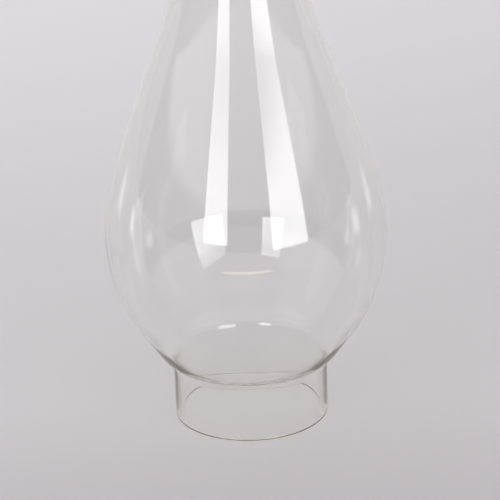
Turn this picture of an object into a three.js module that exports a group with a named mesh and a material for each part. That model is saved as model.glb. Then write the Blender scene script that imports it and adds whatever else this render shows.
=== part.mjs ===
// Clear glass chimney for an oil lamp, blown in one piece from foot to mouth.
// A straight fitter stands in the burner's gallery, a pear-shaped bulb opens above it round the
// flame, and a long taper draws the hot air up to the mouth. The foot rests on the plane z = 0 and
// the chimney's axis is the z axis. Lengths are in millimetres and angles in degrees.

import * as THREE from 'three';

// Driving dimensions: outer sizes of the chimney.
const overallHeight = 254;
const fitterDiameter = 74.6;
const fitterHeight = 25.6;
const heelTopHeight = 44.8;
const bulbDiameter = 134.7;
const bulbRingHeight = 94.8;
const bulbLowerReach = 77.6;
const mouthDiameter = 50;

// Driving dimensions: thickness of the glass, and the small curves that finish it.
const footWall = 2.3;
const neckWall = 1.6;
const bulbWall = 1.1;
const mouthWall = 1.6;
const neckRadius = 6;
const neckTurn = 62.5;
const footEdgeRadius = 0.5;
const mouthEdgeRadius = 0.6;

// The taper passes a waypoint between the bulb's widest ring and the mouth. Its place is a share of
// the rise from ring to mouth and of the draw-in from ring radius to mouth radius; its slope is a
// share of the mean slope. The handles are shares of the stretch that each of them shapes.
const waypoint = { riseShare: 0.607, drawShare: 0.679, slopeShare: 1.487 };
const heelHandles = { leavingShare: 0.2, arrivingShare: 0.5 };
const shoulderHandles = { leavingShare: 0.14, arrivingShare: 0.665 };
const throatHandles = { leavingShare: 0.146, arrivingShare: 0.321 };

// An edge's rounding takes at most this share of the wall, so that a flat ring is left between two.
const largestRoundingShare = 0.4;

// How finely each stretch of the wall is cut, and the number of facets round the axis.
const neckSteps = 5;
const heelSteps = 5;
const bulbSteps = 7;
const shoulderSteps = 7;
const throatSteps = 6;
const edgeSteps = 2;
const facetsRound = 64;

const fitterRadius = fitterDiameter / 2;
const bulbRadius = bulbDiameter / 2;
const mouthRadius = mouthDiameter / 2;

// A cubic whose two ends run along given directions, with handles of given lengths.
function cubicBetween(from, leaving, leavingLength, to, arriving, arrivingLength) {
  return new THREE.CubicBezierCurve(
    from,
    from.clone().addScaledVector(leaving, leavingLength),
    to.clone().addScaledVector(arriving, -arrivingLength),
    to,
  );
}

// Above the straight fitter the wall turns outward round the neck, an arc whose centre lies outside
// the glass, until it leans by the neck's turn from upright.
function neckArc() {
  const centreRadius = fitterRadius + neckRadius;
  const endAngle = Math.PI - THREE.MathUtils.degToRad(neckTurn);
  return new THREE.EllipseCurve(
    centreRadius, fitterHeight, neckRadius, neckRadius, Math.PI, endAngle, true,
  );
}

// The bulb's lower half is an arc of an ellipse about the axis and the widest ring, where it stands
// upright. It starts at the top of the heel.
function bulbArc() {
  const startAngle = -Math.asin((bulbRingHeight - heelTopHeight) / bulbLowerReach);
  return new THREE.EllipseCurve(0, bulbRingHeight, bulbRadius, bulbLowerReach, startAngle, 0);
}

// The wall's outer face as curves of (radius, height), from the foot up, each with its steps.
function outerStretches() {
  const up = new THREE.Vector2(0, 1);
  const foot = new THREE.Vector2(fitterRadius, 0);
  const neck = neckArc();
  const neckStart = neck.getPoint(0);
  const neckEnd = neck.getPoint(1);
  const bulb = bulbArc();
  const heelTop = bulb.getPoint(0);
  const heelLength = neckEnd.distanceTo(heelTop);

  const rise = overallHeight - bulbRingHeight;
  const drawIn = bulbRadius - mouthRadius;
  const ring = new THREE.Vector2(bulbRadius, bulbRingHeight);
  const mouth = new THREE.Vector2(mouthRadius, overallHeight);
  const midway = new THREE.Vector2(
    bulbRadius - drawIn * waypoint.drawShare,
    bulbRingHeight + rise * waypoint.riseShare,
  );
  const taper = new THREE.Vector2(-drawIn * waypoint.slopeShare, rise).normalize();
  const shoulderRise = midway.y - ring.y;
  const throatRise = mouth.y - midway.y;

  return [
    { curve: new THREE.LineCurve(foot, neckStart), steps: 1 },
    { curve: neck, steps: neckSteps },
    {
      curve: cubicBetween(
        neckEnd, neck.getTangent(1), heelLength * heelHandles.leavingShare,
        heelTop, bulb.getTangent(0), heelLength * heelHandles.arrivingShare,
      ),
      steps: heelSteps,
    },
    { curve: bulb, steps: bulbSteps },
    {
      curve: cubicBetween(
        ring, up, shoulderRise * shoulderHandles.leavingShare,
        midway, taper, shoulderRise * shoulderHandles.arrivingShare,
      ),
      steps: shoulderSteps,
    },
    {
      curve: cubicBetween(
        midway, taper, throatRise * throatHandles.leavingShare,
        mouth, up, throatRise * throatHandles.arrivingShare,
      ),
      steps: throatSteps,
    },
  ];
}

// The glass is thickest at the foot. It thins up the fitter and the heel, is even up to the bulb's
// widest ring, and thickens again towards the mouth.
function wallAt(height) {
  if (height < fitterHeight) {
    return THREE.MathUtils.lerp(footWall, neckWall, height / fitterHeight);
  }
  if (height < bulbRingHeight) {
    const blend = THREE.MathUtils.smoothstep(height, fitterHeight, heelTopHeight);
    return THREE.MathUtils.lerp(neckWall, bulbWall, blend);
  }
  const blend = THREE.MathUtils.smoothstep(height, bulbRingHeight, overallHeight);
  return THREE.MathUtils.lerp(bulbWall, mouthWall, blend);
}

// A quarter circle that rounds one edge, from the angle at which it starts, in steps.
function roundedEdge(centreRadius, centreHeight, edgeRadius, startAngle) {
  const quarter = new THREE.EllipseCurve(
    centreRadius, centreHeight, edgeRadius, edgeRadius, startAngle, startAngle + Math.PI / 2,
  );
  return quarter.getPoints(edgeSteps);
}

// The closed section of the wall: up the outer face, over the mouth and down the inner face to the
// foot, where it closes on itself.
function wallSection() {
  const outer = [];
  const inner = [];
  for (const { curve, steps } of outerStretches()) {
    for (let step = 1; step <= steps; step += 1) {
      const point = curve.getPoint(step / steps);
      const tangent = curve.getTangent(step / steps);
      const inward = new THREE.Vector2(-tangent.y, tangent.x);
      outer.push(point);
      inner.push(point.clone().addScaledVector(inward, wallAt(point.y)));
    }
  }
  outer.pop();
  inner.pop();

  const footRound = Math.min(footEdgeRadius, footWall * largestRoundingShare);
  const mouthRound = Math.min(mouthEdgeRadius, mouthWall * largestRoundingShare);
  const footBore = fitterRadius - footWall;
  const mouthBore = mouthRadius - mouthWall;
  const mouthEdgeHeight = overallHeight - mouthRound;

  const section = [
    ...roundedEdge(fitterRadius - footRound, footRound, footRound, -Math.PI / 2),
    ...outer,
    ...roundedEdge(mouthRadius - mouthRound, mouthEdgeHeight, mouthRound, 0),
    ...roundedEdge(mouthBore + mouthRound, mouthEdgeHeight, mouthRound, Math.PI / 2),
    ...inner.reverse(),
    ...roundedEdge(footBore + footRound, footRound, footRound, Math.PI),
  ];
  return [...section, section[0].clone()];
}

const clearGlass = new THREE.MeshStandardMaterial({
  name: 'clear_glass',
  color: 0xdde3df,
  roughness: 0.04,
  metalness: 0,
  transparent: true,
  opacity: 0.3,
});

const glassChimney = new THREE.Mesh(
  new THREE.LatheGeometry(wallSection(), facetsRound),
  clearGlass,
);
glassChimney.name = 'glass_chimney';
glassChimney.rotation.x = Math.PI / 2;

const lampChimney = new THREE.Group();
lampChimney.name = 'lamp_chimney';
lampChimney.add(glassChimney);

export default lampChimney;
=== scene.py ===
import math

import bmesh
import bpy
from bpy.props import FloatProperty, FloatVectorProperty, IntProperty, PointerProperty
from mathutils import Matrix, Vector


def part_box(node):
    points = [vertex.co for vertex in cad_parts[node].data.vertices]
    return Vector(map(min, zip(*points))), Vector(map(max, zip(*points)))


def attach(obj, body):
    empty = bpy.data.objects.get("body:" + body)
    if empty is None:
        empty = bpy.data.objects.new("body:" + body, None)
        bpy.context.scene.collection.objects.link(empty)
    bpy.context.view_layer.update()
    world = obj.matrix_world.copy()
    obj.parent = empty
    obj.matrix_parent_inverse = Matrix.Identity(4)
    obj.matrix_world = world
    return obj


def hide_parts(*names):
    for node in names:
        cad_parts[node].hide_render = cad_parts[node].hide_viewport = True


bl_info = {
    "name": "Oil lamp chimney",
    "version": (1, 0, 0),
    "blender": (4, 5, 0),
    "location": "3D View > Sidebar > Chimney",
    "description": "A clear blown-glass chimney for an oil lamp, standing on a pale studio floor",
    "category": "Add Mesh",
}

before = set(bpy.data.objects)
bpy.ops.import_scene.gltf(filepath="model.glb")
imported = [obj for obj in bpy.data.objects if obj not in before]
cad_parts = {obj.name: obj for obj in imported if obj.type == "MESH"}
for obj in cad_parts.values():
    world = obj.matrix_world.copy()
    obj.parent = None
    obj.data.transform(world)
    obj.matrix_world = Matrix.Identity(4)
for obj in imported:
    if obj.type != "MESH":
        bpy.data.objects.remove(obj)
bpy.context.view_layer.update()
GLASS_LOW, GLASS_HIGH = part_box("glass_chimney")

# The taper passes a waypoint: its place as shares of the rise and of the draw-in from the bulb's
# widest ring to the mouth, and its slope as a share of the mean slope.
WAYPOINT_RISE = 0.607
WAYPOINT_DRAW = 0.679
WAYPOINT_SLOPE = 1.487

# Handles of the curves, as shares of the stretch that each of them shapes: leaving, arriving.
HEEL_HANDLES = (0.2, 0.5)
SHOULDER_HANDLES = (0.14, 0.665)
THROAT_HANDLES = (0.146, 0.321)

# How finely each stretch of the wall is cut.
FITTER_STEPS = 12
NECK_STEPS = 12
HEEL_STEPS = 24
BULB_STEPS = 30
SHOULDER_STEPS = 32
THROAT_STEPS = 20
EDGE_STEPS = 6

# Distances in metres below which two heights, or two places, count as the same.
SAME_HEIGHT = 1e-5
SAME_PLACE = 2e-6

BLACK = (0.0, 0.0, 0.0)
WHITE = (1.0, 1.0, 1.0)


# Shader maths


class Socket:
    """A value in a node tree. Arithmetic on it adds the Math nodes that work it out."""

    def __init__(self, nodes, output):
        self.nodes = nodes
        self.output = output

    def _math(self, operation, *values):
        return self.nodes.add("ShaderNodeMath", {"operation": operation}, dict(enumerate(values)))

    def __add__(self, other):
        return self._math("ADD", self, other)

    def __radd__(self, other):
        return self._math("ADD", other, self)

    def __sub__(self, other):
        return self._math("SUBTRACT", self, other)

    def __rsub__(self, other):
        return self._math("SUBTRACT", other, self)

    def __mul__(self, other):
        return self._math("MULTIPLY", self, other)

    def __rmul__(self, other):
        return self._math("MULTIPLY", other, self)

    def __neg__(self):
        return self._math("MULTIPLY", self, -1.0)

    def absolute(self):
        return self._math("ABSOLUTE", self)


class Nodes:
    """Adds nodes to a tree: a type, its settings, then the values or links of its sockets."""

    def __init__(self, tree):
        self.tree = tree
        tree.nodes.clear()

    def add(self, kind, settings=None, inputs=None, output=0):
        node = self.tree.nodes.new(kind)
        for name, value in (settings or {}).items():
            setattr(node, name, value)
        for key, value in (inputs or {}).items():
            if isinstance(value, Socket):
                self.tree.links.new(value.output, node.inputs[key])
            else:
                node.inputs[key].default_value = value
        if not node.outputs:
            return node
        return Socket(self, node.outputs[output])

    def axes(self, kind):
        """The x, y and z of a texture coordinate."""
        place = self.add("ShaderNodeTexCoord", output=kind)
        split = self.add("ShaderNodeSeparateXYZ", inputs={"Vector": place})
        return [Socket(self, output) for output in split.output.node.outputs]

    def smooth(self, value, low, high):
        """0 below low and 1 above high, with a soft step between them."""
        return self.add(
            "ShaderNodeMapRange",
            {"interpolation_type": "SMOOTHSTEP"},
            {"Value": value, "From Min": low, "From Max": high},
        )

    def mix(self, factor, first, second):
        """A colour between two colours."""
        # The Mix node keeps its colour sockets behind those for numbers and vectors.
        inputs = {0: factor}
        for index, colour in ((6, first), (7, second)):
            inputs[index] = colour if isinstance(colour, Socket) else (*colour, 1.0)
        return self.add("ShaderNodeMix", {"data_type": "RGBA"}, inputs, output=2)


# Sizes, colours and light that a user would change


class ChimneySizes(bpy.types.PropertyGroup):
    overall_height: FloatProperty(
        name="Overall height",
        description="Height from the foot's flat ring to the top of the mouth",
        default=GLASS_HIGH.z - GLASS_LOW.z,
        subtype="DISTANCE",
        unit="LENGTH",
    )
    bulb_diameter: FloatProperty(
        name="Bulb diameter",
        description="Outside width of the bulb at its widest ring",
        default=GLASS_HIGH.x - GLASS_LOW.x,
        subtype="DISTANCE",
        unit="LENGTH",
    )
    bulb_ring_height: FloatProperty(
        name="Bulb ring height",
        description="Height of the bulb's widest ring above the foot",
        default=0.0948,
        subtype="DISTANCE",
        unit="LENGTH",
    )
    fitter_diameter: FloatProperty(
        name="Fitter diameter",
        description="Outside width of the straight fitter that stands in the gallery",
        default=0.0746,
        subtype="DISTANCE",
        unit="LENGTH",
    )
    fitter_height: FloatProperty(
        name="Fitter height",
        description="Height of the straight fitter below the neck",
        default=0.0256,
        subtype="DISTANCE",
        unit="LENGTH",
    )
    heel_top_height: FloatProperty(
        name="Heel top height",
        description="Height at which the heel passes into the bulb's arc",
        default=0.0448,
        subtype="DISTANCE",
        unit="LENGTH",
    )
    bulb_lower_reach: FloatProperty(
        name="Bulb lower reach",
        description="Half height of the ellipse that the bulb's lower half follows",
        default=0.0776,
        subtype="DISTANCE",
        unit="LENGTH",
    )
    neck_radius: FloatProperty(
        name="Neck radius",
        description="Radius of the outward turn above the fitter",
        default=0.006,
        subtype="DISTANCE",
        unit="LENGTH",
    )
    neck_turn: FloatProperty(
        name="Neck turn",
        description="How far the neck leans the wall from upright",
        default=math.radians(62.5),
        subtype="ANGLE",
        unit="ROTATION",
    )
    mouth_diameter: FloatProperty(
        name="Mouth diameter",
        description="Outside width of the mouth",
        default=0.05,
        subtype="DISTANCE",
        unit="LENGTH",
    )
    foot_wall: FloatProperty(
        name="Foot wall",
        description="Thickness of the glass at the foot",
        default=0.0023,
        subtype="DISTANCE",
        unit="LENGTH",
    )
    neck_wall: FloatProperty(
        name="Neck wall",
        description="Thickness of the glass where the neck starts",
        default=0.0016,
        subtype="DISTANCE",
        unit="LENGTH",
    )
    bulb_wall: FloatProperty(
        name="Bulb wall",
        description="Thickness of the glass from the heel's top to the bulb's widest ring",
        default=0.0011,
        subtype="DISTANCE",
        unit="LENGTH",
    )
    mouth_wall: FloatProperty(
        name="Mouth wall",
        description="Thickness of the glass at the mouth",
        default=0.0016,
        subtype="DISTANCE",
        unit="LENGTH",
    )
    foot_edge_radius: FloatProperty(
        name="Foot edge radius",
        description="Radius of the fire-polished edges of the foot",
        default=0.0005,
        subtype="DISTANCE",
        unit="LENGTH",
    )
    mouth_edge_radius: FloatProperty(
        name="Mouth edge radius",
        description="Radius of the fire-polished edges of the mouth",
        default=0.0006,
        subtype="DISTANCE",
        unit="LENGTH",
    )
    facets_round: IntProperty(
        name="Facets round",
        description="Number of steps round the axis",
        default=256,
        min=24,
    )


class GlassLook(bpy.types.PropertyGroup):
    clear: FloatVectorProperty(
        name="Clear glass",
        description="Tint of the glass where it is cleanest",
        default=(0.99, 0.993, 1.0),
        subtype="COLOR",
        size=3,
    )
    hazed: FloatVectorProperty(
        name="Hazed glass",
        description="Tint of the glass where a faint film lies on it",
        default=(0.978, 0.981, 0.985),
        subtype="COLOR",
        size=3,
    )
    thick: FloatVectorProperty(
        name="Thick glass",
        description="Tint that light takes on along a thick path through the glass",
        default=(0.90, 0.88, 0.67),
        subtype="COLOR",
        size=3,
    )
    tint_density: FloatProperty(
        name="Tint density",
        description="How strongly a thick path takes the tint, per metre",
        default=42.0,
    )
    refraction: FloatProperty(
        name="Index of refraction",
        description="Index of refraction of soda-lime glass",
        default=1.52,
    )


class StudioLook(bpy.types.PropertyGroup):
    # Painted shade: these floor colours grow lighter away from the camera and darker towards it,
    # where the light falls off.
    floor_shade_near: FloatVectorProperty(
        name="Floor near",
        description="Colour of the floor in front of the chimney",
        default=(0.44, 0.428, 0.437),
        subtype="COLOR",
        size=3,
    )
    floor_shade_middle: FloatVectorProperty(
        name="Floor middle",
        description="Colour of the floor under the chimney",
        default=(0.53, 0.518, 0.527),
        subtype="COLOR",
        size=3,
    )
    floor_shade_far: FloatVectorProperty(
        name="Floor far",
        description="Colour of the floor far behind the chimney",
        default=(0.715, 0.706, 0.715),
        subtype="COLOR",
        size=3,
    )
    room_floor: FloatVectorProperty(
        name="Room floor",
        description="Colour of the floor past the sheet's front edge, which only reflections show",
        default=(0.52, 0.5, 0.5),
        subtype="COLOR",
        size=3,
    )
    # Painted glow of the floor's front edge: it emits light as if lit, though it is no lamp, and
    # only reflections show it.
    painted_edge_glow: FloatVectorProperty(
        name="Front edge",
        description="Glow of the lit front edge of the floor, which only reflections show",
        default=(3.8, 2.8, 1.7),
        subtype="COLOR",
        size=3,
    )
    left_strength: FloatProperty(
        name="Left softbox",
        description="Brightness of the left softbox, where 1 is white",
        default=4.8,
    )
    right_strength: FloatProperty(
        name="Right softbox",
        description="Brightness of the right softbox, where 1 is white",
        default=5.0,
    )
    card_strength: FloatProperty(
        name="Side cards",
        description="Brightness of the small cards at the sides, where 1 is white",
        default=1.9,
    )


# Shape of the wall


def cubic(start, leaving, arriving, end, share):
    """Point and unit tangent of a cubic curve with two handles, a share of the way along it."""
    rest = 1 - share
    point = (
        start * rest**3
        + leaving * (3 * rest * rest * share)
        + arriving * (3 * rest * share * share)
        + end * share**3
    )
    tangent = (
        (leaving - start) * rest * rest
        + (arriving - leaving) * (2 * rest * share)
        + (end - arriving) * share * share
    )
    return point, tangent.normalized()


def soft_step(value, low, high):
    """0 below low and 1 above high, with a soft step between them."""
    share = min(max((value - low) / (high - low), 0.0), 1.0)
    return share * share * (3 - 2 * share)


def wall_thickness(sizes, height):
    """The glass is thickest at the foot, thins up to the heel's top and is even below the ring."""
    neck = sizes.fitter_height
    if height < neck:
        return sizes.foot_wall + (sizes.neck_wall - sizes.foot_wall) * height / neck
    if height < sizes.bulb_ring_height:
        share = soft_step(height, neck, sizes.heel_top_height)
        return sizes.neck_wall + (sizes.bulb_wall - sizes.neck_wall) * share
    share = soft_step(height, sizes.bulb_ring_height, sizes.overall_height)
    return sizes.bulb_wall + (sizes.mouth_wall - sizes.bulb_wall) * share


def inner_point(sizes, point, tangent):
    """The point of the inner face that lies square behind a point of the outer face."""
    inward = Vector((-tangent.y, tangent.x))
    return point + inward * wall_thickness(sizes, point.y)


def cubic_stations(start, leaving, arriving, end, count):
    return [cubic(start, leaving, arriving, end, step / count) for step in range(1, count + 1)]


def lower_stations(sizes):
    """Points and unit tangents of the outer face from the foot to the bulb's widest ring."""
    fitter = sizes.fitter_diameter / 2
    bulb = sizes.bulb_diameter / 2
    ring = sizes.bulb_ring_height
    reach = sizes.bulb_lower_reach
    neck = sizes.neck_radius

    def fitter_line(share):
        return Vector((fitter, sizes.fitter_height * share)), Vector((0.0, 1.0))

    def neck_arc(share):
        turn = sizes.neck_turn * share
        point = Vector((neck * (1 - math.cos(turn)), neck * math.sin(turn)))
        return point + fitter_line(1.0)[0], Vector((math.sin(turn), math.cos(turn)))

    def bulb_arc(share):
        angle = -math.asin((ring - sizes.heel_top_height) / reach) * (1 - share)
        tangent = Vector((-bulb * math.sin(angle), reach * math.cos(angle)))
        point = Vector((bulb * math.cos(angle), ring + reach * math.sin(angle)))
        return point, tangent.normalized()

    neck_end, leaving = neck_arc(1.0)
    heel_top, arriving = bulb_arc(0.0)
    heel = (heel_top - neck_end).length
    return [
        *(fitter_line(step / FITTER_STEPS) for step in range(FITTER_STEPS + 1)),
        *(neck_arc(step / NECK_STEPS) for step in range(1, NECK_STEPS + 1)),
        *cubic_stations(
            neck_end,
            neck_end + leaving * (heel * HEEL_HANDLES[0]),
            heel_top - arriving * (heel * HEEL_HANDLES[1]),
            heel_top,
            HEEL_STEPS,
        ),
        *(bulb_arc(step / BULB_STEPS) for step in range(1, BULB_STEPS + 1)),
    ]


def upper_stations(sizes):
    """Points and unit tangents of the outer face from the bulb's widest ring to the mouth."""
    bulb = sizes.bulb_diameter / 2
    mouth = sizes.mouth_diameter / 2
    ring = sizes.bulb_ring_height
    rise = sizes.overall_height - ring
    draw_in = bulb - mouth
    up = Vector((0.0, 1.0))
    widest = Vector((bulb, ring))
    midway = Vector((bulb - draw_in * WAYPOINT_DRAW, ring + rise * WAYPOINT_RISE))
    top = Vector((mouth, sizes.overall_height))
    taper = Vector((-draw_in * WAYPOINT_SLOPE, rise)).normalized()
    shoulder = midway.y - ring
    throat = top.y - midway.y
    return [
        *cubic_stations(
            widest,
            widest + up * (shoulder * SHOULDER_HANDLES[0]),
            midway - taper * (shoulder * SHOULDER_HANDLES[1]),
            midway,
            SHOULDER_STEPS,
        ),
        *cubic_stations(
            midway,
            midway + taper * (throat * THROAT_HANDLES[0]),
            top - up * (throat * THROAT_HANDLES[1]),
            top,
            THROAT_STEPS,
        ),
    ]


def wall_crossings(sizes):
    """Pairs of outer and inner points up the wall, as (radius, height), from foot to mouth."""
    stations = lower_stations(sizes) + upper_stations(sizes)
    return [(point, inner_point(sizes, point, tangent)) for point, tangent in stations]


# Edit-mode helpers


def deselect_all():
    bpy.ops.object.select_all(action="DESELECT")


def select_only(piece, kind, wanted):
    """In edit mode, selects those of a mesh's verts or edges that pass the test."""
    shape = bmesh.from_edit_mesh(piece.data)
    for part in (*shape.verts, *shape.edges, *shape.faces):
        part.select = False
    for part in getattr(shape, kind):
        if wanted(part):
            part.select_set(True)
    bmesh.update_edit_mesh(piece.data)


class CHIMNEY_OT_glass(bpy.types.Operator):
    """Blow the chimney: one wall of clear glass from the foot to the mouth"""

    bl_idname = "chimney.glass"
    bl_label = "Glass"
    bl_options = {"REGISTER", "UNDO"}

    def execute(self, context):
        sizes = context.scene.chimney_sizes
        piece = self.model_section(sizes)
        self.round_edges(piece, sizes)
        self.spin_section(piece, sizes)
        piece.data.materials.append(self.glass_material(context.scene.chimney_glass))
        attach(piece, "root")
        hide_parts("glass_chimney")
        return {"FINISHED"}

    @staticmethod
    def model_section(sizes):
        """Extrudes a small plane up the wall, crossing by crossing, into the wall's section."""
        crossings = []
        for outer, inner in wall_crossings(sizes):
            across = outer - inner
            middle = (outer + inner) / 2
            crossings.append((middle, across.length, math.atan2(across.y, across.x)))

        (low, thickness, _), (high, _, _) = crossings[:2]
        half_way = (low.y + high.y) / 2
        deselect_all()
        bpy.ops.mesh.primitive_plane_add(size=1.0, location=(low.x, 0.0, half_way))
        piece = bpy.context.object
        piece.name = "glass_chimney_wall"
        piece.data.name = piece.name
        piece.rotation_euler = (math.pi / 2, 0.0, 0.0)
        piece.scale = (thickness, high.y - low.y, 1.0)
        bpy.ops.object.transform_apply(location=True, rotation=True, scale=True)

        bpy.ops.object.mode_set(mode="EDIT")
        bpy.ops.mesh.select_mode(type="EDGE")
        select_only(piece, "edges", lambda edge: all(v.co.z > half_way for v in edge.verts))
        for before, after in zip(crossings[1:], crossings[2:]):
            shift = after[0] - before[0]
            pivot = (after[0].x, 0.0, after[0].y)
            bpy.ops.mesh.extrude_region_move(
                TRANSFORM_OT_translate={"value": (shift.x, 0.0, shift.y)}
            )
            turn = after[2] - before[2]
            if turn:
                bpy.ops.transform.rotate(
                    value=turn, orient_axis="Y", orient_type="GLOBAL", center_override=pivot
                )
            ratio = after[1] / before[1]
            if ratio != 1.0:
                bpy.ops.transform.resize(value=(ratio,) * 3, center_override=pivot)
        return piece

    @staticmethod
    def round_edges(piece, sizes):
        """Rounds the section's two corners at the foot and its two at the mouth."""
        bpy.ops.mesh.select_mode(type="VERT")
        ends = (
            (0.0, sizes.foot_edge_radius),
            (sizes.overall_height, sizes.mouth_edge_radius),
        )
        for height, radius in ends:
            select_only(piece, "verts", lambda vertex: abs(vertex.co.z - height) < SAME_HEIGHT)
            bpy.ops.mesh.bevel(
                affect="VERTICES",
                offset_type="OFFSET",
                offset=radius,
                segments=EDGE_STEPS,
                profile=0.5,
                clamp_overlap=False,
            )

    @staticmethod
    def spin_section(piece, sizes):
        """Keeps the section's outline and spins it round the axis into a closed wall."""
        bpy.ops.mesh.select_mode(type="EDGE")
        bpy.ops.mesh.select_all(action="SELECT")
        bpy.ops.mesh.region_to_loop()
        bpy.ops.mesh.select_all(action="INVERT")
        bpy.ops.mesh.delete(type="EDGE_FACE")
        bpy.ops.mesh.select_all(action="SELECT")
        bpy.ops.mesh.spin(
            steps=sizes.facets_round,
            angle=2 * math.pi,
            center=(0.0, 0.0, 0.0),
            axis=(0.0, 0.0, 1.0),
        )
        bpy.ops.mesh.select_all(action="SELECT")
        bpy.ops.mesh.remove_doubles(threshold=SAME_PLACE)
        bpy.ops.mesh.normals_make_consistent(inside=False)
        bpy.ops.mesh.faces_shade_smooth()
        bpy.ops.object.mode_set(mode="OBJECT")

    @staticmethod
    def glass_material(look):
        """Clear soda-lime glass with the soft waves that blowing leaves and a faint film."""
        material = bpy.data.materials.new("blown_clear_glass")
        material.use_nodes = True
        nodes = Nodes(material.node_tree)
        film_roughness = 0.01
        place = nodes.add("ShaderNodeTexCoord", output="Object")
        film = nodes.add(
            "ShaderNodeTexNoise",
            inputs={"Vector": place, "Scale": 22.0, "Detail": 2.0},
        )
        waves = nodes.add(
            "ShaderNodeTexNoise",
            inputs={"Vector": place, "Scale": 30.0, "Detail": 0.0},
        )
        shader = nodes.add(
            "ShaderNodeBsdfPrincipled",
            inputs={
                "Base Color": nodes.mix(film, look.clear, look.hazed),
                "Roughness": film * film_roughness,
                "Normal": nodes.add(
                    "ShaderNodeBump",
                    inputs={"Strength": 0.02, "Distance": 0.001, "Height": waves},
                ),
                "IOR": look.refraction,
                "Transmission Weight": 1.0,
            },
        )
        tint = nodes.add(
            "ShaderNodeVolumeAbsorption",
            inputs={"Color": (*look.thick, 1.0), "Density": look.tint_density},
        )
        nodes.add("ShaderNodeOutputMaterial", inputs={"Surface": shader, "Volume": tint})
        return material


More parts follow.
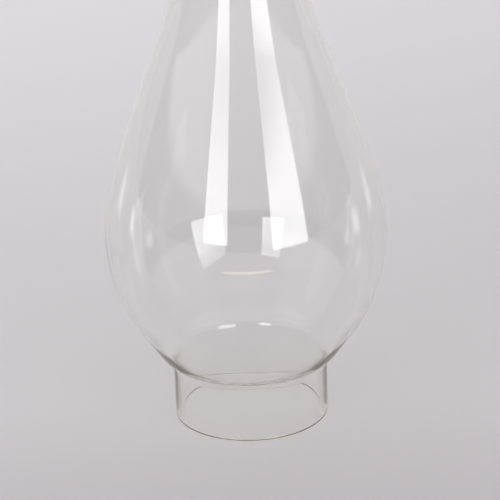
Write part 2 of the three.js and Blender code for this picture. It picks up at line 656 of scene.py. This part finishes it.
class CHIMNEY_OT_stage(bpy.types.Operator):
    """Lay the floor, light the studio and place the camera"""

    bl_idname = "chimney.stage"
    bl_label = "Stage"
    bl_options = {"REGISTER", "UNDO"}

    def execute(self, context):
        studio = context.scene.chimney_studio
        self.lay_floor(studio)
        self.light_room(context.scene)
        self.hang_panel(
            "softbox_left",
            place=(-0.39, -0.87, 0.385),
            size=(0.33, 0.51),
            turn=-24.2,
            brightness=studio.left_strength,
            top_fade=0.3,
        )
        self.hang_panel(
            "softbox_right",
            place=(0.57, -0.87, 0.39),
            size=(0.6, 0.62),
            turn=58.6,
            brightness=studio.right_strength,
            top_fade=0.6,
        )
        beside = studio.card_strength
        behind = beside * 0.7
        self.stand_card("card_left", turn=-101.0, width=0.075, brightness=beside)
        self.stand_card("card_right", turn=96.0, width=0.12, brightness=beside)
        self.stand_card("card_back_left", turn=-123.0, width=0.11, brightness=behind)
        self.stand_card("card_back_right", turn=120.0, width=0.11, brightness=behind)
        self.place_camera(context.scene)
        context.scene.view_settings.view_transform = "Standard"
        self.follow_light(context.scene.cycles, bounces=96)
        return {"FINISHED"}

    @staticmethod
    def follow_light(settings, bounces):
        """Lets light that runs along inside the wall come out again, and keeps gloss sharp."""
        settings.blur_glossy = 0.0
        settings.max_bounces = bounces
        settings.glossy_bounces = bounces
        settings.transmission_bounces = bounces

    @staticmethod
    def lay_floor(studio):
        """A pale sheet, painted darker towards the camera as painted shade, that ends in a painted
        glow along its front edge.
        """
        deselect_all()
        bpy.ops.mesh.primitive_plane_add(size=12.0)
        floor = bpy.context.object
        floor.name = "floor"
        material = bpy.data.materials.new("pale_floor")
        material.use_nodes = True
        nodes = Nodes(material.node_tree)
        across, along, _ = nodes.axes("Object")
        mirrored = nodes.add("ShaderNodeLightPath", output="Is Glossy Ray")
        passing = nodes.add("ShaderNodeLightPath", output="Is Transmission Ray")

        # Painted shade: the floor is painted darker towards the camera, where the light falls off,
        # and its right side is a little darker than its left.
        near_to_middle = nodes.smooth(along, -0.14, 0.03)
        painted_side_shade = nodes.smooth(across, -0.25, 0.25) - 0.5
        middle_to_far = nodes.smooth(along, -0.1, 0.85) - painted_side_shade * 0.22
        colour = nodes.mix(near_to_middle, studio.floor_shade_near, studio.floor_shade_middle)
        colour = nodes.mix(middle_to_far, colour, studio.floor_shade_far)

        # The sheet ends towards the camera in a painted glow, an edge that emits light as if lit,
        # with the room's own floor past it.
        past_sheet = nodes.smooth(-along, 0.53, 0.535)
        colour = nodes.mix(past_sheet * mirrored, colour, studio.room_floor)
        edge = nodes.smooth(-along, 0.455, 0.46) * (1 - past_sheet)
        edge = edge * nodes.smooth(across.absolute(), 0.17, 0.15)
        # Painted glint: the edge glows only in reflections, for rays that don't pass through the
        # glass.
        glint = edge * mirrored * (1 - passing)
        shader = nodes.add(
            "ShaderNodeBsdfPrincipled",
            inputs={
                "Base Color": colour,
                "Roughness": 0.9,
                "Specular IOR Level": 0.0,
                "Emission Color": nodes.mix(glint, BLACK, studio.painted_edge_glow),
                "Emission Strength": 1.0,
            },
        )
        nodes.add("ShaderNodeOutputMaterial", inputs={"Surface": shader})
        floor.data.materials.append(material)

    @staticmethod
    def light_room(scene):
        """A room that is dark low down behind the camera, with a pale sheet behind the chimney."""
        world = bpy.data.worlds.new("studio_room")
        scene.world = world
        world.use_nodes = True
        nodes = Nodes(world.node_tree)
        # The three parts of the direction that the light comes from.
        across, away, up = nodes.axes("Generated")
        side = nodes.smooth(across.absolute(), 0.35, 0.7)
        left = nodes.smooth(-across, 0.3, 0.6)
        low_walls = 0.01 + side * 0.16
        upper_walls = 0.42 + side * 0.25 + left * 0.22
        walls = low_walls + nodes.smooth(up, 0.155, 0.21) * upper_walls
        ceiling = nodes.smooth(up, 0.62, 0.75) * 0.5 + nodes.smooth(up, 0.7, 1.0) * 0.33
        sheet = nodes.smooth(away, 0.24, 0.3)
        room = walls * (1 - sheet) + sheet * 0.62 + ceiling
        seen = nodes.add("ShaderNodeLightPath", output="Is Camera Ray")
        strength = room * (1 - seen) + seen * 0.72
        background = nodes.add(
            "ShaderNodeBackground",
            inputs={"Color": (1.0, 0.985, 1.0, 1.0), "Strength": strength},
        )
        nodes.add("ShaderNodeOutputWorld", inputs={"Surface": background})

    def stand_card(self, name, turn, width, brightness):
        """A small bright card on the floor beside the chimney, a turn away from the front."""
        distance = 0.55
        height = 0.1
        bearing = math.radians(turn)
        self.hang_panel(
            name,
            place=(distance * math.sin(bearing), -distance * math.cos(bearing), height / 2),
            size=(width, height),
            turn=turn,
            brightness=brightness,
            core=0.1,
        )

    @staticmethod
    def hang_panel(name, place, size, turn, brightness, core=0.46, top_fade=0.0):
        """A glowing panel that faces the chimney and that the camera can't see.

        It glows fully within its core, is clear at its rim, and may fade towards its top.
        """
        deselect_all()
        bpy.ops.mesh.primitive_plane_add(size=1.0, location=place)
        panel = bpy.context.object
        panel.name = name
        panel.rotation_euler = (math.pi / 2, 0.0, math.radians(turn))
        panel.scale = (*size, 1.0)
        material = bpy.data.materials.new(name)
        material.use_nodes = True
        nodes = Nodes(material.node_tree)
        rim = 0.5
        across, along, _ = nodes.axes("Object")
        within_sides = nodes.smooth(across.absolute(), rim, core)
        within_ends = nodes.smooth(along.absolute(), rim, core)
        fading = nodes.smooth(along, -0.05, 0.4) * top_fade
        glow = within_sides * within_ends * (1 - fading)
        clear = nodes.add("ShaderNodeBsdfTransparent")
        lamp = nodes.add(
            "ShaderNodeBsdfPrincipled",
            inputs={
                "Base Color": (*BLACK, 1.0),
                "Specular IOR Level": 0.0,
                "Emission Color": (*WHITE, 1.0),
                "Emission Strength": brightness,
            },
        )
        shader = nodes.add("ShaderNodeMixShader", inputs={"Fac": glow, 1: clear, 2: lamp})
        nodes.add("ShaderNodeOutputMaterial", inputs={"Surface": shader})
        panel.data.materials.append(material)
        panel.visible_camera = False

    @staticmethod
    def place_camera(scene):
        """The photograph's viewpoint: a long lens that looks down, tipped a little sideways."""
        deselect_all()
        bpy.ops.object.camera_add(location=(0.0016, -1.215, 0.58843))
        camera = bpy.context.object
        camera.name = "camera"
        camera.rotation_mode = "ZYX"
        camera.rotation_euler = (math.radians(67.4385), 0.0, math.radians(-1.909))
        camera.data.sensor_width = 36.0
        camera.data.lens = 197.52
        camera.data.clip_end = 50.0
        scene.camera = camera


class CHIMNEY_PT_panel(bpy.types.Panel):
    bl_idname = "CHIMNEY_PT_panel"
    bl_label = "Oil lamp chimney"
    bl_space_type = "VIEW_3D"
    bl_region_type = "UI"
    bl_category = "Chimney"

    def draw(self, context):
        for operator in OPERATORS:
            self.layout.operator(operator.bl_idname)
        for group in ("chimney_sizes", "chimney_glass", "chimney_studio"):
            settings = getattr(context.scene, group)
            column = self.layout.column()
            for name in settings.bl_rna.properties.keys():
                if name not in {"rna_type", "name"}:
                    column.prop(settings, name)


OPERATORS = (CHIMNEY_OT_glass, CHIMNEY_OT_stage)
CLASSES = (ChimneySizes, GlassLook, StudioLook, *OPERATORS, CHIMNEY_PT_panel)


def register():
    for item in CLASSES:
        bpy.utils.register_class(item)
    bpy.types.Scene.chimney_sizes = PointerProperty(type=ChimneySizes)
    bpy.types.Scene.chimney_glass = PointerProperty(type=GlassLook)
    bpy.types.Scene.chimney_studio = PointerProperty(type=StudioLook)


def unregister():
    del bpy.types.Scene.chimney_studio
    del bpy.types.Scene.chimney_glass
    del bpy.types.Scene.chimney_sizes
    for item in reversed(CLASSES):
        bpy.utils.unregister_class(item)


def main():
    register()
    bpy.ops.chimney.glass()
    bpy.ops.chimney.stage()


if __name__ == "__main__":
    main()
